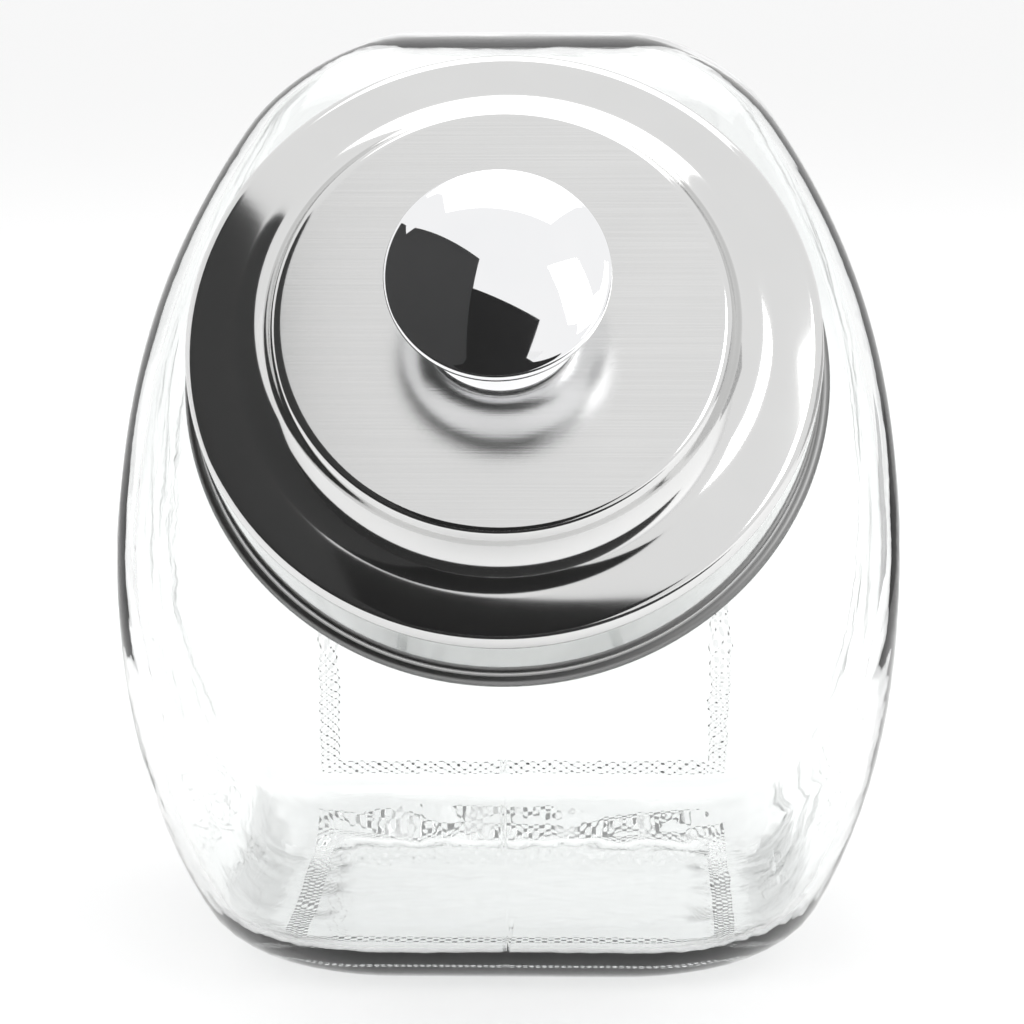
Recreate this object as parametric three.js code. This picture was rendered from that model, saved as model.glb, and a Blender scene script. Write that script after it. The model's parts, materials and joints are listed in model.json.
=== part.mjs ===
// A lidded glass canister: a square jar with bulging sides and a sloping mouth, closed by a stepped
// metal lid with a round knob. The jar stands on its base or lies on its flat back.
// Millimetres, +Z up, with the mouth facing -Y and up.

import * as THREE from "three";

// Jar body
const jarWidth = 180; // across the widest part of the sides
const jarHeight = 213.9;
const baseWidth = 133;
const topWidth = 94;
const bulgeHeight = 100.5; // height of the widest part
const bulgePower = 2.4; // how the sides curve in from there: 2 is a parabola
const jarBack = 65; // from the body's upright axis to its flat back
const frontCornerRadius = 40; // of the upright edges beside the mouth
const backCornerRadius = 22; // of the edges round the flat back
const slopeEdgeRadius = 14; // of the edges round the sloping front
const heelRadius = 12;
const crownRadius = 20;
const wall = 4; // glass
const floorThickness = 7;

// Mouth
const mouthLean = 60.3; // how far the mouth's axis leans forward from upright, in degrees
const mouthForward = 46.3; // middle of the mouth on the glass shoulder, from the body's axis
const mouthZ = 138.2;
const mouthRadius = 61.5; // inside
const neckWall = 4.5;
const neckFoot = 2; // how far the neck spreads and rises at its foot
const mouthFoot = 1; // the same inside

// Lid
const sheet = 0.9; // metal thickness
const skirtRadius = 71.4; // outside
const skirtHeight = 23.5;
const curlRadius = 1.6; // half the thickness of the rolled rim
const skirtGap = 1.2; // from the rolled rim down to the jar's shoulder
const lidShoulderRadius = 3.5; // bend at the top of the skirt
const landWidth = 6; // sloping ring inside the shoulder
const landRise = 1.4;
const coveRise = 11;
const topRadius = 48.6; // flat top
const topEdgeRadius = 2.4;

// Seal
const sealThickness = 2.4;
const sealLipDepth = 8;
const sealLipThickness = 2.6;

// Knob
const knobRadius = 24.5;
const knobHeight = 30.3;
const knobDomeRise = 6.5;
const knobRimThickness = 3;
const knobWaistRadius = 15.5;
const knobFootRadius = 18.3;
const knobFootHeight = 3;
const knobBossRadius = 6;
const knobWall = 3;

// Fastener
const screwRadius = 2;
const screwHeadRadius = 4;
const screwHeadHeight = 2.6;
const screwGrip = 11; // length inside the knob
const washerRadius = 7;
const washerThickness = 1;
const lockWasherRadius = 3.7;
const lockWasherThickness = 1;
const padThickness = 0.6;
const padInset = 1.2; // how far the pad stays inside the knob's foot

// Clearances
const restGap = 0.3; // between two pieces that touch
const boreGap = 0.25; // round a screw or a plug
const lipGap = 0.35; // between the seal's lip and the mouth

// Steps round a turned piece, in multiples of four so that quarter turns match
const jarSteps = 64;
const wideSteps = 48;
const smallSteps = 24;

const canister = new THREE.Group();
const lid = new THREE.Group();

function material(colour, roughness, metalness, opacity = 1) {
  return new THREE.MeshStandardMaterial({
    color: colour,
    roughness,
    metalness,
    opacity,
    transparent: opacity < 1,
  });
}

const glass = material(0xeef3f1, 0.05, 0, 0.35);
const satinSteel = material(0xb8b8b6, 0.35, 1);
const chrome = material(0xd9dadc, 0.06, 1);
const silicone = material(0xe6e6e0, 0.6, 0);
const clearPlastic = material(0xdcdcdc, 0.4, 0);
const zincSteel = material(0x9a9c9e, 0.4, 1);

const point = (radius, height) => new THREE.Vector2(radius, height);

// Points of an arc about (radius, height), from one angle to another in degrees, ends included.
function arc(radius, height, bend, from, to, steps) {
  return Array.from({ length: steps + 1 }, (_, i) => {
    const angle = THREE.MathUtils.degToRad(from + ((to - from) * i) / steps);
    return point(radius + bend * Math.cos(angle), height + bend * Math.sin(angle));
  });
}

// A solid of revolution about Z. The outline runs anticlockwise in (radius, height), and it starts and
// ends on the axis or at the same point.
function turned(outline, steps) {
  return new THREE.LatheGeometry(outline, steps).rotateX(Math.PI / 2);
}

// Puts a turned piece on the mouth's axis, at a height from the glass shoulder.
function add(name, geometry, finish, height = 0) {
  const mesh = new THREE.Mesh(geometry, finish.clone());
  mesh.name = name;
  mesh.position.z = height;
  lid.add(mesh);
}

const closed = (outline) => [...outline, outline[0].clone()];

// Jar -----------------------------------------------------------------------------------------------

const mouthAxis = new THREE.Vector3(0, 0, 1);
mouthAxis.applyAxisAngle(new THREE.Vector3(1, 0, 0), THREE.MathUtils.degToRad(mouthLean));
const mouthUp = new THREE.Vector3().crossVectors(mouthAxis, new THREE.Vector3(1, 0, 0));
const mouthCentre = new THREE.Vector3(0, -mouthForward, mouthZ);
const neckRadius = mouthRadius + neckWall;

// Heights along the mouth's axis, from the glass shoulder.
const skirtBottom = skirtGap + curlRadius;
const lidShoulderTop = skirtBottom + skirtHeight;
const sealTop = lidShoulderTop - sheet - restGap;
const mouthHeight = sealTop - sealThickness - restGap;

// How far a curve has come in from its widest place: 0 there, and 1 at its end.
const curveIn = (height, widest, end) =>
  Math.abs(Math.min(height - widest, 0) / widest + Math.max(height - widest, 0) / (end - widest)) **
  bulgePower;

function halfWidth(height) {
  const end = height < bulgeHeight ? baseWidth : topWidth;
  return jarWidth / 2 - ((jarWidth - end) / 2) * curveIn(height, bulgeHeight, jarHeight);
}

// Joins distances from several walls into the distance from the solid they bound, with rounded edges.
function rounded(distances, radius) {
  const sum = distances.reduce((total, d) => total + Math.max(d + radius, 0) ** 2, 0);
  return sum > 0 ? Math.sqrt(sum) - radius : Math.max(...distances);
}

// Distance of a point from the jar's outside, negative within it. The floor can be set higher.
function outside(place, floor) {
  const reach = halfWidth(place.z);
  const front = rounded([Math.abs(place.x) - reach, -place.y - reach], frontCornerRadius);
  const walls = rounded([front, place.y - jarBack], backCornerRadius);
  const slope = mouthAxis.dot(place.clone().sub(mouthCentre));
  const sloped = rounded([walls, slope], slopeEdgeRadius);
  return rounded([rounded([sloped, floor - place.z], heelRadius), place.z - jarHeight], crownRadius);
}

// The middle of the jar's inside, which every part of the wall can be seen from.
const coreDepth = 60;
const placing = 1e-9; // how exactly a wall point is placed, so that flat walls are truly flat
const core = mouthCentre.clone().addScaledVector(mouthAxis, -coreDepth);

// The point of a wall in a direction from the core: an angle from the mouth's axis and a turn round it.
function wallPoint(lean, turn, inset, floor) {
  const sideways = new THREE.Vector3(Math.cos(turn), 0, 0).addScaledVector(mouthUp, Math.sin(turn));
  const direction = mouthAxis.clone().multiplyScalar(Math.cos(lean));
  direction.addScaledVector(sideways, Math.sin(lean));
  let [near, far] = [0, jarWidth + jarHeight];
  while (far - near > placing) {
    const middle = (near + far) / 2;
    const place = core.clone().addScaledVector(direction, middle);
    if (outside(place, floor) + inset < 0) near = middle;
    else far = middle;
  }
  return core.clone().addScaledVector(direction, near);
}

// A ring of the jar as a function of the turn round the mouth's axis.
const wallRing = (lean, inset, floor) => (turn) => wallPoint(lean, turn, inset, floor);
const neckRing = (at) => (turn) =>
  mouthCentre
    .clone()
    .addScaledVector(mouthAxis, at.y)
    .add(new THREE.Vector3(Math.cos(turn) * at.x, 0, 0))
    .addScaledVector(mouthUp, Math.sin(turn) * at.x);

const bodyRings = 28;
const leans = (edge) =>
  Array.from({ length: bodyRings }, (_, i) => Math.PI - ((Math.PI - edge) * i) / (bodyRings - 1));
const outerEdge = Math.atan2(neckRadius + neckFoot, coreDepth);
const innerEdge = Math.atan2(mouthRadius + mouthFoot, coreDepth - wall);
const rings = [
  ...leans(outerEdge).map((lean) => wallRing(lean, 0, 0)),
  neckRing(point(neckRadius, neckFoot)),
  ...arc(mouthRadius + neckWall / 2, mouthHeight - neckWall / 2, neckWall / 2, 0, 180, 6).map(neckRing),
  neckRing(point(mouthRadius, -mouthFoot)),
  ...leans(innerEdge)
    .map((lean) => wallRing(lean, wall, floorThickness - wall))
    .reverse(),
];

// A turned blank with one ring for each of the jar's rings, each point then moved to its own place.
function throughRings(shape, steps) {
  const last = shape.length - 1;
  const blank = new THREE.LatheGeometry(
    shape.map((_, i) => point(i === 0 || i === last ? 0 : 1, i)),
    steps,
  );
  const places = blank.getAttribute("position");
  for (let i = 0; i < places.count; i++) {
    const ring = Math.round(places.getY(i));
    const turn = Math.atan2(places.getX(i), places.getZ(i));
    places.setXYZ(i, ...shape[ring](turn).toArray());
  }
  blank.deleteAttribute("normal");
  blank.deleteAttribute("uv");
  return blank;
}

const jar = new THREE.Mesh(throughRings(rings, jarSteps), glass);
jar.name = "jar";

// Lid -----------------------------------------------------------------------------------------------

const lidTop = lidShoulderTop + landRise + coveRise;
const landOuter = skirtRadius - lidShoulderRadius;
const landInner = landOuter - landWidth;
const screwHole = screwRadius + boreGap;

// The lid's outside from the skirt to the hole, moved inwards by the sheet's thickness for its inside.
function lidSide(inset) {
  return [
    ...arc(landOuter, lidShoulderTop - lidShoulderRadius, lidShoulderRadius - inset, 0, 80, 4),
    point(landInner, lidShoulderTop + landRise - inset),
    ...arc(landInner, lidShoulderTop + landRise + coveRise, coveRise + inset, 270, 195, 5).slice(1),
    ...arc(topRadius - inset * 0.4, lidTop - topEdgeRadius, topEdgeRadius - inset, 35, 90, 3),
  ];
}

const lidOutline = closed([
  point(screwHole, lidTop - sheet),
  ...lidSide(sheet).reverse(),
  point(skirtRadius - sheet, skirtBottom),
  ...arc(skirtRadius - sheet + curlRadius, skirtBottom, curlRadius, 180, 450, 7),
  point(skirtRadius, skirtBottom + curlRadius + restGap),
  ...lidSide(0),
  point(screwHole, lidTop),
]);
add("lid_shell", turned(lidOutline, wideSteps), satinSteel);

const sealOuter = skirtRadius - sheet - restGap - lidShoulderRadius * 0.6;
const lipOuter = mouthRadius - lipGap;
const sealOutline = closed([
  point(lipOuter - sealLipThickness, sealTop - sealThickness - sealLipDepth),
  point(lipOuter - 0.6, sealTop - sealThickness - sealLipDepth),
  point(lipOuter, sealTop - sealThickness - sealLipDepth * 0.6),
  point(lipOuter, sealTop - sealThickness),
  point(sealOuter, sealTop - sealThickness),
  point(sealOuter, sealTop - 1),
  point(sealOuter - 1, sealTop),
  point(lipOuter - sealLipThickness, sealTop),
]);
add("lid_seal", turned(sealOutline, wideSteps), silicone);

// Knob ----------------------------------------------------------------------------------------------

const padTop = lidTop + restGap + padThickness;
const knobBottom = padTop + restGap;
const knobRimTop = knobHeight - knobDomeRise;
const boreDepth = screwGrip + 1;

const padOutline = closed([
  point(screwHole, 0),
  point(knobFootRadius - padInset, 0),
  point(knobFootRadius - padInset, padThickness),
  point(screwHole, padThickness),
]);
add("knob_pad", turned(padOutline, smallSteps), clearPlastic, lidTop + restGap);

// The crown is a shallow dome through the axis that ends on the rim's rounded edge.
const domeHalf = knobRadius - knobRimThickness / 2;
const domeRadius = (domeHalf ** 2 + knobDomeRise ** 2) / (2 * knobDomeRise);
const domeHalfAngle = THREE.MathUtils.radToDeg(Math.asin(domeHalf / domeRadius));
const knobOutline = [
  point(0, boreDepth),
  point(screwHole, boreDepth),
  point(screwHole, 0),
  point(knobBossRadius, 0),
  point(knobBossRadius, boreDepth + knobWall - 2),
  point(knobWaistRadius - knobWall, boreDepth + knobWall - 2),
  point(knobWaistRadius - knobWall, knobFootHeight),
  point(knobFootRadius - knobWall, 0),
  point(knobFootRadius, 0),
  point(knobFootRadius, knobFootHeight * 0.5),
  point(knobWaistRadius + 0.6, knobFootHeight),
  point(knobWaistRadius, knobFootHeight * 2),
  point(knobWaistRadius + 1, knobRimTop * 0.55),
  point(knobWaistRadius + 4, knobRimTop - knobRimThickness * 1.1),
  ...arc(domeHalf, knobRimTop - knobRimThickness / 2, knobRimThickness / 2, 280, 440, 6),
  ...arc(0, knobHeight - domeRadius, domeRadius, 90 - domeHalfAngle, 90, 5).slice(1),
];
add("knob", turned(knobOutline, 32), chrome, knobBottom);

// Screw and washers under the lid -------------------------------------------------------------------

const washerTop = lidTop - sheet - restGap;
const washer = (outer, thickness) =>
  turned(
    closed([point(screwHole, 0), point(outer, 0), point(outer, thickness), point(screwHole, thickness)]),
    smallSteps,
  );
add("flat_washer", washer(washerRadius, washerThickness), zincSteel, washerTop - washerThickness);

const lockWasherBottom = washerTop - washerThickness - restGap - lockWasherThickness;
add("lock_washer", washer(lockWasherRadius, lockWasherThickness), zincSteel, lockWasherBottom);

const headTop = lockWasherBottom - restGap;
const driveRadius = 1.5;
const driveDepth = 1.4;
const screwOutline = [
  point(0, -screwHeadHeight + driveDepth),
  point(driveRadius, -screwHeadHeight + driveDepth),
  point(driveRadius, -screwHeadHeight),
  point(screwHeadRadius - 1, -screwHeadHeight),
  ...arc(screwHeadRadius - 1, -screwHeadHeight + 1, 1, 300, 360, 2),
  point(screwHeadRadius, 0),
  point(screwRadius, 0),
  point(screwRadius, knobBottom + screwGrip - headTop - 0.6),
  point(screwRadius - 0.6, knobBottom + screwGrip - headTop),
  point(0, knobBottom + screwGrip - headTop),
];
add("knob_screw", turned(screwOutline, smallSteps), zincSteel, headTop);

lid.quaternion.setFromUnitVectors(new THREE.Vector3(0, 0, 1), mouthAxis);
lid.position.copy(mouthCentre);
canister.add(jar, lid);

// The origin is under the middle of the whole canister, on the surface that it stands on.
canister.updateMatrixWorld(true);
const middle = new THREE.Box3().setFromObject(canister, true).getCenter(new THREE.Vector3());
canister.position.set(0, -middle.y, 0);
const part = new THREE.Group().add(canister);

export default part;
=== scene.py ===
import json
import math

import bpy
import numpy as np
from mathutils import Matrix, Vector


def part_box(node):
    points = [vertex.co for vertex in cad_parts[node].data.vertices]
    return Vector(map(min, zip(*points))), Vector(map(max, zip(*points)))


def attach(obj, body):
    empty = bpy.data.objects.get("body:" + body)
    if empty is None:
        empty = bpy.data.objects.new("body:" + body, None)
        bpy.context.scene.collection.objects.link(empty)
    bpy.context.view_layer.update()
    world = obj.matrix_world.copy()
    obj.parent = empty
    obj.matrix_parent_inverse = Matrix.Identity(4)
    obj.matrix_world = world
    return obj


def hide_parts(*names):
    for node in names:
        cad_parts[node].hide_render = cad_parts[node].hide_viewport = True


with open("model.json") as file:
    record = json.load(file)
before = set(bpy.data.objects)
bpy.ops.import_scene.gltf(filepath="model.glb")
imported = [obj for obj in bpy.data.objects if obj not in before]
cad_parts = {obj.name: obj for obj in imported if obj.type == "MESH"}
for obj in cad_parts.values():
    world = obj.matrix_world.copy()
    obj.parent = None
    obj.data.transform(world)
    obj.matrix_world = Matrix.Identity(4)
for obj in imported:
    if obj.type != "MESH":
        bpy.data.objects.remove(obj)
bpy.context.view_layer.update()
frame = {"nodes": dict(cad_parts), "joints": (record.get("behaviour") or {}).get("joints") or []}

# Sizes in metres. Heights of the neck, lid and knob are along the mouth's axis, from the glass shoulder
# round the neck. The jar's own heights are above its base.
MM = 0.001
X = Vector((1, 0, 0))
turn_joint = next(joint for joint in frame["joints"] if joint["name"] == "lid_turn")
MOUTH = Vector(turn_joint["pos_m"])
MOUTH_AXIS = Vector(turn_joint["axis"]).normalized()
MOUTH_LEAN = math.atan2(-MOUTH_AXIS.y, MOUTH_AXIS.z)
jar_high = Vector(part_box("jar")[1])

# Jar
JAR_BACK = 65 * MM
BACK_Y = jar_high.y
AXIS_Y = BACK_Y - JAR_BACK
JAR_HEIGHT = jar_high.z
HALF_WIDTH = jar_high.x
BASE_HALF, TOP_HALF = 66.5 * MM, 47 * MM
BULGE_HEIGHT, BULGE_POWER = 100.5 * MM, 2.4
FRONT_CORNER, BACK_CORNER = 40 * MM, 22 * MM
SLOPE_EDGE, HEEL, CROWN = 14 * MM, 12 * MM, 20 * MM
WALL, FLOOR = 4 * MM, 7 * MM
MOUTH_RADIUS, NECK_WALL = 61.5 * MM, 4.5 * MM
NECK_FOOT, MOUTH_FOOT = 2 * MM, 1 * MM
CORE_DEPTH = 60 * MM
PANEL_HALF_WIDTH, PANEL_HALF_DEPTH, PANEL_RECESS = 49 * MM, 47 * MM, 0.9 * MM
PANEL_CORNER, PANEL_EDGE = 12 * MM, 4 * MM
BACK_PANEL_Z = 66 * MM

# Lid
SHEET, REST_GAP = 0.9 * MM, 0.3 * MM
SKIRT_RADIUS, SKIRT_HEIGHT, CURL_RADIUS = 71.4 * MM, 23.5 * MM, 1.6 * MM
SKIRT_GAP = 1.2 * MM
SKIRT_BOTTOM = SKIRT_GAP + CURL_RADIUS
LID_SHOULDER_TOP = SKIRT_BOTTOM + SKIRT_HEIGHT
LID_SHOULDER_BEND = 3.5 * MM
LAND_WIDTH, LAND_RISE, COVE_RISE = 6 * MM, 1.4 * MM, 11 * MM
TOP_RADIUS, TOP_EDGE = 48.6 * MM, 2.4 * MM
LID_TOP = LID_SHOULDER_TOP + LAND_RISE + COVE_RISE
SEAL_THICKNESS, SEAL_LIP_DEPTH, SEAL_LIP = 2.4 * MM, 8 * MM, 2.6 * MM
SEAL_TOP = LID_SHOULDER_TOP - SHEET - REST_GAP
MOUTH_HEIGHT = SEAL_TOP - SEAL_THICKNESS - REST_GAP
SCREW_HOLE = 2.25 * MM

# Knob
KNOB_GAP = 1.2 * MM
KNOB_BOTTOM = LID_TOP + KNOB_GAP
KNOB_RADIUS, KNOB_HEIGHT, KNOB_DOME, KNOB_RIM = 24.5 * MM, 30.3 * MM, 6.5 * MM, 3 * MM
KNOB_WAIST, KNOB_FOOT, KNOB_FOOT_HEIGHT = 15.5 * MM, 18.3 * MM, 3 * MM
KNOB_WALL, KNOB_BOSS, KNOB_BORE = 3 * MM, 6 * MM, 12 * MM

# Steps of a full turn, rows of the jar's body, and halvings of a line to find a wall on it
STEPS = 160
JAR_ROWS = 64
HALVINGS = 40


# Modelling ------------------------------------------------------------------------------------------


def arc(radius, height, bend, start, end, steps=10):
    """Points of an arc about (radius, height), between two angles in degrees."""
    angles = np.radians(np.linspace(start, end, steps + 1))
    return [(radius + bend * math.cos(a), height + bend * math.sin(a)) for a in angles]


def on_mouth(radius, height):
    return MOUTH + MOUTH_AXIS * height + X * radius


def turned(name, outline, steps=STEPS):
    """Spins an outline of (radius, height) points round the mouth's axis."""
    bpy.ops.object.select_all(action="DESELECT")
    points = [on_mouth(*point) for point in outline]
    bpy.ops.mesh.primitive_plane_add(size=MM, location=points[0])
    piece = bpy.context.object
    piece.name = name
    bpy.ops.object.transform_apply(location=True, rotation=True, scale=True)
    bpy.ops.object.mode_set(mode="EDIT")
    bpy.ops.mesh.select_all(action="SELECT")
    bpy.ops.mesh.merge(type="CENTER")
    for before, after in zip(points, points[1:]):
        bpy.ops.mesh.extrude_region_move(TRANSFORM_OT_translate={"value": after - before})
    bpy.ops.mesh.select_all(action="SELECT")
    bpy.ops.mesh.spin(steps=steps, angle=math.tau, center=MOUTH, axis=MOUTH_AXIS)
    bpy.ops.mesh.select_all(action="SELECT")
    bpy.ops.mesh.remove_doubles(threshold=0.002 * MM)
    bpy.ops.mesh.normals_make_consistent(inside=False)
    bpy.ops.object.mode_set(mode="OBJECT")
    return piece


def smooth(piece, angle=35):
    bpy.ops.object.select_all(action="DESELECT")
    piece.select_set(True)
    bpy.context.view_layer.objects.active = piece
    bpy.ops.object.shade_smooth_by_angle(angle=math.radians(angle))


def finished(piece, body, slot_name, material, *nodes):
    piece.data.materials.clear()
    piece.data.materials.append(material)
    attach(piece, body)
    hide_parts(*nodes)


# Jar ------------------------------------------------------------------------------------------------


def half_width(z):
    """Half the jar's width at each height."""
    below = z < BULGE_HEIGHT
    reach = np.where(below, BULGE_HEIGHT, JAR_HEIGHT - BULGE_HEIGHT)
    end = np.where(below, BASE_HALF, TOP_HALF)
    share = (np.abs(z - BULGE_HEIGHT) / reach) ** BULGE_POWER
    return HALF_WIDTH - (HALF_WIDTH - end) * share


def rounded(first, second, radius):
    """Joins the distances from two walls into one, with a rounded edge between them."""
    corner = np.hypot(np.maximum(first + radius, 0), np.maximum(second + radius, 0))
    return np.where(corner > 0, corner - radius, np.maximum(first, second))


def outside(place, floor):
    """Distance of places from the jar's outside, negative within it, over a floor at a height."""
    x, y, z = place.T
    reach = half_width(z)
    front = rounded(np.abs(x) - reach, AXIS_Y - y - reach, FRONT_CORNER)
    walls = rounded(front, y - BACK_Y, BACK_CORNER)
    slope = (place - np.array(MOUTH)) @ np.array(MOUTH_AXIS)
    sloped = rounded(walls, slope, SLOPE_EDGE)
    return rounded(rounded(sloped, floor - z, HEEL), z - JAR_HEIGHT, CROWN)


def on_wall(core, directions, inset, floor):
    """Where lines from the core in given directions meet a wall of the jar."""
    near = np.zeros(len(directions))
    far = np.full(len(directions), 2 * JAR_HEIGHT)
    for _ in range(HALVINGS):
        middle = (near + far) / 2
        within = outside(core + directions * middle[:, None], floor) + inset < 0
        near = np.where(within, middle, near)
        far = np.where(within, far, middle)
    return core + directions * near[:, None]


def panel_mask(across, along):
    """1 inside a panel with round corners, falling to 0 across its edge."""
    distance = rounded(np.abs(across) - PANEL_HALF_WIDTH, np.abs(along) - PANEL_HALF_DEPTH, PANEL_CORNER)
    share = np.clip(-distance / PANEL_EDGE, 0, 1)
    return share * share * (3 - 2 * share)


def make_jar():
    """A turned blank round the mouth's axis, whose body is then pushed out to the jar's walls."""
    outer_blank, inner_blank = 50 * MM, 30 * MM
    neck_radius = MOUTH_RADIUS + NECK_WALL
    lip = NECK_WALL / 2
    outer_edge = math.atan2(neck_radius + NECK_FOOT, CORE_DEPTH)
    inner_edge = math.atan2(MOUTH_RADIUS + MOUTH_FOOT, CORE_DEPTH - WALL)

    def ball(radius, edge):
        leans = np.linspace(math.pi, edge, JAR_ROWS)
        return [(radius * math.sin(a), radius * math.cos(a) - CORE_DEPTH) for a in leans]

    outline = [
        *ball(outer_blank, outer_edge),
        *arc(neck_radius + NECK_FOOT, NECK_FOOT, NECK_FOOT, 250, 180, 5),
        (neck_radius, MOUTH_HEIGHT - lip - 3 * MM),
        *arc(MOUTH_RADIUS + lip, MOUTH_HEIGHT - lip, lip, 0, 180, 12),
        (MOUTH_RADIUS, 4 * MM),
        (MOUTH_RADIUS, -MOUTH_FOOT),
        *reversed(ball(inner_blank, inner_edge)),
    ]
    jar = turned("jar_glass", outline)
    places = np.empty(len(jar.data.vertices) * 3)
    jar.data.vertices.foreach_get("co", places)
    places = places.reshape(-1, 3)
    core = np.array(MOUTH - MOUTH_AXIS * CORE_DEPTH)
    reach = np.linalg.norm(places - core, axis=1)
    directions = (places - core) / reach[:, None]
    outer = np.abs(reach - outer_blank) < MM
    inner = np.abs(reach - inner_blank) < MM
    places[outer] = on_wall(core, directions[outer], 0, 0)
    places[inner] = on_wall(core, directions[inner], WALL, FLOOR - WALL)

    x, y, z = places.T
    face_band = 0.2 * MM
    base = outer & (z < face_band)
    places[base, 2] += PANEL_RECESS * panel_mask(x[base], y[base] - AXIS_Y)
    back = outer & (y > BACK_Y - face_band)
    places[back, 1] -= PANEL_RECESS * panel_mask(x[back], z[back] - BACK_PANEL_Z)
    jar.data.vertices.foreach_set("co", places.ravel())
    jar.data.update()
    smooth(jar, 60)
    jar.visible_shadow = False
    return jar


# Lid, seal and knob ---------------------------------------------------------------------------------


def lid_side(inset):
    """The lid from the top of its skirt to its flat top, moved in by the sheet for its inside."""
    land_outer = SKIRT_RADIUS - LID_SHOULDER_BEND
    bend_height = LID_SHOULDER_TOP - LID_SHOULDER_BEND
    return [
        *arc(land_outer, bend_height, LID_SHOULDER_BEND - inset, 0, 80, 12),
        *arc(land_outer - LAND_WIDTH, LID_TOP, COVE_RISE + inset, 268, 195, 16),
        *arc(TOP_RADIUS - inset * 0.4, LID_TOP - TOP_EDGE, TOP_EDGE - inset, 35, 90, 8),
    ]


def make_lid():
    inside = SKIRT_RADIUS - SHEET
    outline = [
        (SCREW_HOLE, LID_TOP - SHEET),
        (TOP_RADIUS * 0.5, LID_TOP - SHEET),
        *reversed(lid_side(SHEET)),
        (inside, SKIRT_BOTTOM + 8 * MM),
        *arc(inside + CURL_RADIUS, SKIRT_BOTTOM, CURL_RADIUS, 180, 450, 20),
        (SKIRT_RADIUS + 0.5 * MM, SKIRT_BOTTOM + CURL_RADIUS),
        (SKIRT_RADIUS, SKIRT_BOTTOM + CURL_RADIUS + 0.6 * MM),
        *lid_side(0),
        (TOP_RADIUS * 0.5, LID_TOP),
        (SCREW_HOLE, LID_TOP),
        (SCREW_HOLE, LID_TOP - SHEET),
    ]
    lid = turned("lid_metal", outline)
    smooth(lid)
    return lid


def make_seal():
    lip_outer = MOUTH_RADIUS - 0.35 * MM
    outer = SKIRT_RADIUS - SHEET - REST_GAP - LID_SHOULDER_BEND * 0.6
    bottom = SEAL_TOP - SEAL_THICKNESS - SEAL_LIP_DEPTH
    outline = [
        *arc(lip_outer - SEAL_LIP + 0.5 * MM, bottom + 0.5 * MM, 0.5 * MM, 180, 270, 4),
        *arc(lip_outer - 1 * MM, bottom + 0.5 * MM, 0.5 * MM, 270, 330, 3),
        (lip_outer, bottom + SEAL_LIP_DEPTH * 0.4),
        (lip_outer, SEAL_TOP - SEAL_THICKNESS),
        *arc(outer - 0.4 * MM, SEAL_TOP - SEAL_THICKNESS + 0.4 * MM, 0.4 * MM, 270, 360, 4),
        *arc(outer - 1 * MM, SEAL_TOP - 1 * MM, 1 * MM, 0, 90, 5),
        (lip_outer - SEAL_LIP, SEAL_TOP),
    ]
    seal = turned("seal_ring", [*outline, outline[0]])
    smooth(seal)
    return seal


def make_knob():
    """Hollow, with a flared foot, a waist and a domed disc with a round edge."""
    base = KNOB_BOTTOM
    rim_top = KNOB_HEIGHT - KNOB_DOME
    dome_half = KNOB_RADIUS - KNOB_RIM / 2
    dome = (dome_half**2 + KNOB_DOME**2) / (2 * KNOB_DOME)
    dome_angle = math.degrees(math.asin(dome_half / dome))
    ceiling = KNOB_BORE + KNOB_WALL - 2 * MM
    under = rim_top - KNOB_RIM
    flare = KNOB_RADIUS - KNOB_RIM / 2 - KNOB_WAIST
    stem_bottom = KNOB_FOOT_HEIGHT * 2
    shares = np.linspace(0, 0.88, 12)
    stem = [(KNOB_WAIST + flare * s**3, stem_bottom + (under - stem_bottom) * s) for s in shares]
    outline = [
        (0, KNOB_BORE),
        (SCREW_HOLE, KNOB_BORE),
        (SCREW_HOLE, 0),
        (KNOB_BOSS, 0),
        (KNOB_BOSS, ceiling),
        (KNOB_WAIST - KNOB_WALL, ceiling),
        (KNOB_WAIST - KNOB_WALL, KNOB_FOOT_HEIGHT),
        (KNOB_FOOT - KNOB_WALL, 0),
        *arc(KNOB_FOOT - 0.7 * MM, 0.7 * MM, 0.7 * MM, 270, 400, 8),
        (KNOB_WAIST + 1.1 * MM, KNOB_FOOT_HEIGHT),
        (KNOB_WAIST + 0.3 * MM, KNOB_FOOT_HEIGHT * 1.5),
        *stem,
        *arc(dome_half, rim_top - KNOB_RIM / 2, KNOB_RIM / 2, 275, 440, 14),
        *arc(0, KNOB_HEIGHT - dome, dome, 90 - dome_angle * 0.97, 90, 18),
    ]
    knob = turned("knob_metal", [(r, h + base) for r, h in outline])
    smooth(knob)
    return knob


# Materials ------------------------------------------------------------------------------------------


# Sockets of a Mix node for colours
MIX_SHARE, MIX_LOW, MIX_HIGH, MIX_RESULT = 0, 6, 7, 2


class Value:
    """A number that varies over a surface, on which arithmetic adds Math nodes."""

    def __init__(self, finish, socket):
        self.finish = finish
        self.socket = socket

    def math(self, operation, *values):
        inputs = dict(enumerate([self, *values]))
        return self.finish.value("ShaderNodeMath", {"operation": operation}, inputs)

    def __add__(self, other):
        return self.math("ADD", other)

    def __sub__(self, other):
        return self.math("SUBTRACT", other)

    def __rsub__(self, other):
        return (self * -1) + other

    def __mul__(self, other):
        return self.math("MULTIPLY", other)

    __radd__ = __add__
    __rmul__ = __mul__

    def __abs__(self):
        return self.math("ABSOLUTE")

    def within(self, low, high, edge):
        """1 between two values, fading to 0 over an edge outside them."""
        rise = self.finish.ramp(self, low - edge, low)
        return rise * (1 - self.finish.ramp(self, high, high + edge))


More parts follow.
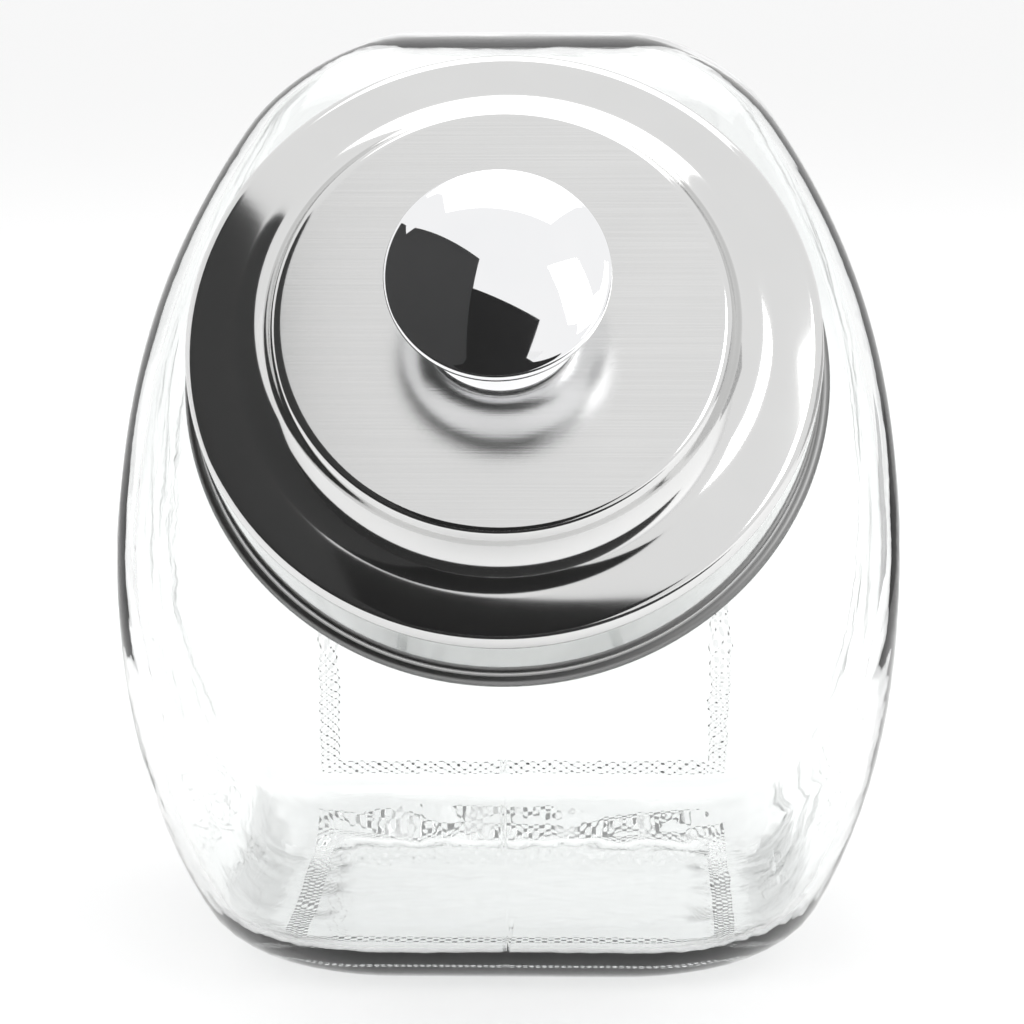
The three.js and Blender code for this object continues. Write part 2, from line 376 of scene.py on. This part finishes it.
class Finish:
    """A material with one Principled shader, whose fixed values sit on the shader's own sockets."""

    def __init__(self, name, **fixed):
        self.material = bpy.data.materials.new(name)
        self.material.use_nodes = True
        self.nodes = self.material.node_tree.nodes
        self.links = self.material.node_tree.links
        self.shader = self.nodes["Principled BSDF"]
        for socket, value in fixed.items():
            self.shader.inputs[socket.replace("_", " ")].default_value = value

    def node(self, kind, settings, inputs):
        node = self.nodes.new(kind)
        for name, value in settings.items():
            setattr(node, name, value)
        for key, value in inputs.items():
            self.give(node.inputs[key], value)
        return node

    def give(self, socket, value):
        if isinstance(value, Value):
            self.links.new(value.socket, socket)
        elif isinstance(value, bpy.types.NodeSocket):
            self.links.new(value, socket)
        else:
            socket.default_value = value

    def value(self, kind, settings, inputs, output=0):
        return Value(self, self.node(kind, settings, inputs).outputs[output])

    def ramp(self, value, low, high):
        inputs = {"Value": value, "From Min": low, "From Max": high}
        return self.value("ShaderNodeMapRange", {"interpolation_type": "SMOOTHSTEP"}, inputs)

    def coordinates(self, centre=(0, 0, 0), lean=0):
        """Object coordinates, moved to a centre and turned about X."""
        source = self.node("ShaderNodeTexCoord", {}, {}).outputs["Object"]
        inputs = {"Vector": source, "Location": centre, "Rotation": (lean, 0, 0)}
        return self.node("ShaderNodeMapping", {"vector_type": "TEXTURE"}, inputs).outputs[0]

    def axes(self, vector):
        node = self.node("ShaderNodeSeparateXYZ", {}, {"Vector": vector})
        return [Value(self, output) for output in node.outputs]

    def vector(self, *values):
        return self.node("ShaderNodeCombineXYZ", {}, dict(enumerate(values))).outputs[0]

    def noise(self, vector, scale, detail=3):
        inputs = {"Vector": vector, "Scale": scale, "Detail": detail}
        return self.value("ShaderNodeTexNoise", {}, inputs)

    def blend(self, share, low, high):
        inputs = {MIX_SHARE: share, MIX_LOW: (*low, 1), MIX_HIGH: (*high, 1)}
        return self.node("ShaderNodeMix", {"data_type": "RGBA"}, inputs).outputs[MIX_RESULT]

    def bump(self, height, distance, strength=1.0):
        inputs = {"Height": height, "Distance": distance, "Strength": strength}
        self.give(self.shader.inputs["Normal"], self.node("ShaderNodeBump", {}, inputs).outputs[0])


def glass_finish():
    """Clear pressed glass: faintly wavy, knurled round both rests, with a mould seam down the front."""
    finish = Finish(
        "clear_glass", Base_Color=(0.975, 0.985, 0.982, 1), Roughness=0.012, IOR=1.5, Transmission_Weight=1
    )
    place = finish.coordinates()
    x, y, z = finish.axes(place)
    border, knurl_pitch = 4.5 * MM, 3 * MM

    def knurl(across, along):
        past = (abs(across) - PANEL_HALF_WIDTH).math("MAXIMUM", abs(along) - PANEL_HALF_DEPTH)
        waves = [(v * (math.tau / knurl_pitch)).math("SINE") for v in (across, along)]
        return past.within(0, border, 0.6 * MM) * waves[0] * waves[1]

    base = knurl(x, y - AXIS_Y) * (1 - finish.ramp(z, 0.3 * MM, 1.2 * MM))
    back = knurl(x, z - BACK_PANEL_Z) * finish.ramp(y, BACK_Y - 1.2 * MM, BACK_Y - 0.3 * MM)
    front = 1 - finish.ramp(y, AXIS_Y - 40 * MM, AXIS_Y - 30 * MM)
    seam = x.within(-0.2 * MM, 0.2 * MM, 0.5 * MM) * front
    waviness = finish.noise(place, 20, 2)
    ripples = finish.noise(place, 75, 2)
    finish.bump(base * 0.16 + back * 0.34 + seam * 0.12 + waviness * 0.5 + ripples * 0.1, 1 * MM)
    return finish.material


def steel_finish():
    """Lid metal: straight brushing on the flat top, a bright slope and skirt, and a rolled rim that is
    duller and darkened with painted shade.
    """
    finish = Finish("brushed_lid_metal")
    x, across, height = finish.axes(finish.coordinates(MOUTH, MOUTH_LEAN))
    radius = (x * x + across * across).math("SQRT")
    top = (1 - finish.ramp(radius, TOP_RADIUS - 0.3 * MM, TOP_RADIUS + 0.5 * MM)) * finish.ramp(
        height, LID_TOP - 1.2 * MM, LID_TOP - 0.4 * MM
    )
    # Mask of the rolled rim: rougher, and darker in colour, partly as its own duller edge and partly as
    # painted shade in the gap at the skirt's foot.
    rim_dull_and_painted_shade = 1 - finish.ramp(height, SKIRT_BOTTOM + CURL_RADIUS, SKIRT_BOTTOM + CURL_RADIUS + 1 * MM)
    strokes = finish.noise(finish.vector(x * 14, across * 2600, 0), 1, 4)
    fine = finish.noise(finish.vector(x * 60, across * 60, height * 60), 1, 3)
    # The rim's darkening of the colour is partly the curl's duller edge and partly painted shade.
    tone = 0.74 + top * (strokes * 0.14 - 0.07) + fine * 0.04 - rim_dull_and_painted_shade * 0.5
    finish.give(finish.shader.inputs["Base Color"], finish.blend(tone, (0, 0, 0), (0.93, 0.93, 0.925)))
    roughness = 0.07 + top * (0.06 + strokes * 0.07) + fine * 0.03 + rim_dull_and_painted_shade * 0.3
    finish.give(finish.shader.inputs["Roughness"], roughness)
    finish.shader.inputs["Metallic"].default_value = 1
    finish.bump(strokes * top, 0.02 * MM, 0.6)
    return finish.material


def chrome_finish():
    """Polished knob metal, with faint smears from handling."""
    finish = Finish("polished_chrome", Metallic=1)
    place = finish.coordinates()
    smears = finish.noise(place, 55, 4)
    finish.give(finish.shader.inputs["Roughness"], 0.025 + finish.ramp(smears, 0.5, 0.75) * 0.04)
    finish.give(
        finish.shader.inputs["Base Color"], finish.blend(smears, (0.86, 0.865, 0.88), (0.92, 0.92, 0.925))
    )
    return finish.material


def speckled_finish(name, dark, light, grain, roughness, depth, **fixed):
    """A plain moulded or plated surface, with a fine grain in its colour, gloss and height."""
    finish = Finish(name, **fixed)
    place = finish.coordinates()
    speckle = finish.noise(place, grain, 4)
    finish.give(finish.shader.inputs["Base Color"], finish.blend(speckle, dark, light))
    finish.give(finish.shader.inputs["Roughness"], roughness + speckle * 0.12)
    finish.bump(speckle, depth, 0.5)
    return finish.material


# Pieces ---------------------------------------------------------------------------------------------

finished(make_jar(), "jar", "glass", glass_finish(), "jar")
finished(make_lid(), "lid", "satin_steel", steel_finish(), "lid_shell")
finished(make_knob(), "lid", "chrome", chrome_finish(), "knob")
silicone = speckled_finish("soft_silicone", (0.74, 0.74, 0.7), (0.84, 0.84, 0.81), 900, 0.42, 0.05 * MM)
finished(make_seal(), "seal", "silicone", silicone, "lid_seal")

plated = speckled_finish(
    "zinc_plate", (0.46, 0.47, 0.5), (0.6, 0.61, 0.62), 1400, 0.28, 0.02 * MM, Metallic=1
)
plastic = speckled_finish("clear_pad", (0.72, 0.72, 0.72), (0.8, 0.8, 0.8), 700, 0.2, 0.02 * MM)
for node, material in (
    ("knob_screw", plated),
    ("flat_washer", plated),
    ("lock_washer", plated),
    ("knob_pad", plastic),
):
    for material_slot in frame["nodes"][node].material_slots:
        material_slot.material = material


# Studio ---------------------------------------------------------------------------------------------


def plain(name, colour, roughness=0.7):
    material = bpy.data.materials.new(name)
    material.use_nodes = True
    shader = material.node_tree.nodes["Principled BSDF"]
    shader.inputs["Base Color"].default_value = (*colour, 1)
    shader.inputs["Roughness"].default_value = roughness
    return material


def sheet(name, size, location, rotation, material):
    bpy.ops.object.select_all(action="DESELECT")
    bpy.ops.mesh.primitive_plane_add(size=1, location=location, rotation=rotation)
    panel = bpy.context.object
    panel.name = name
    panel.scale = (*size, 1)
    panel.data.materials.append(material)
    return panel


def card(name, size, location, rotation, shade, through_glass=False):
    """A matt card hidden from the camera, which shows in reflections and, if asked, through glass."""
    panel = sheet(name, size, location, rotation, plain(name, (shade, shade, shade), 1))
    panel.visible_camera = False
    panel.visible_diffuse = False
    panel.visible_shadow = False
    panel.visible_transmission = through_glass


def softbox(name, size, location, power):
    """A rectangular light that faces the middle of the jar."""
    light = bpy.data.lights.new(name, "AREA")
    light.shape = "RECTANGLE"
    light.size, light.size_y = size
    light.energy = power
    lamp = bpy.data.objects.new(name, light)
    lamp.location = location
    lamp.rotation_euler = (Vector(location) - LIT_PLACE).to_track_quat("Z", "Y").to_euler()
    bpy.context.scene.collection.objects.link(lamp)


UPRIGHT = math.radians(90)
LIT_PLACE = Vector((0, 0, 0.1))
sheet("floor", (40, 40), (0, 0, 0), (0, 0, 0), plain("pale_floor", (0.93, 0.93, 0.93)))
card("front_floor_card", (1.6, 1.0), (-0.4, -0.75, 0.004), (0, 0, 0), 0.01)
card("front_card", (2.0, 1.05), (-0.5, -1.3, 0.55), (UPRIGHT, math.radians(24), math.radians(-8)), 0.01)
card("left_card", (1.7, 1.9), (-0.9, -0.63, 0.95), (UPRIGHT, 0, math.radians(-55)), 0.035)
card("left_edge_card", (0.3, 0.5), (-0.6, 0.3, 0.2), (0, UPRIGHT, 0), 0.85, through_glass=True)
card("right_edge_card", (0.2, 0.5), (0.6, 0.3, 0.12), (0, UPRIGHT, 0), 0.5, through_glass=True)
softbox("overhead", (1.4, 1.4), (0.1, 0.5, 1.5), 7)
softbox("right_light", (0.5, 0.9), (1.0, -0.9, 0.9), 5)

world = bpy.data.worlds.new("studio")
world.use_nodes = True
background = world.node_tree.nodes["Background"].inputs
background["Color"].default_value = (1, 1, 1, 1)
background["Strength"].default_value = 1
bpy.context.scene.world = world
bpy.context.scene.view_settings.view_transform = "Standard"

CAMERA_AZIMUTH, CAMERA_ELEVATION, CAMERA_ROLL = (math.radians(a) for a in (2, 10, -0.27))
CAMERA_DISTANCE, LENS, SENSOR_WIDTH = 0.8953, 129.3, 36
target = Vector((-0.66 * MM, AXIS_Y, 99.86 * MM))
towards_camera = Vector(
    (
        math.sin(CAMERA_AZIMUTH) * math.cos(CAMERA_ELEVATION),
        -math.cos(CAMERA_AZIMUTH) * math.cos(CAMERA_ELEVATION),
        math.sin(CAMERA_ELEVATION),
    )
)
camera = bpy.data.objects.new("camera", bpy.data.cameras.new("camera"))
camera.data.sensor_width = SENSOR_WIDTH
camera.data.lens = LENS
facing = towards_camera.to_track_quat("Z", "Y").to_matrix().to_4x4()
camera.matrix_world = (
    Matrix.Translation(target + towards_camera * CAMERA_DISTANCE)
    @ facing
    @ Matrix.Rotation(CAMERA_ROLL, 4, "Z")
)
bpy.context.scene.collection.objects.link(camera)
bpy.context.scene.camera = camera
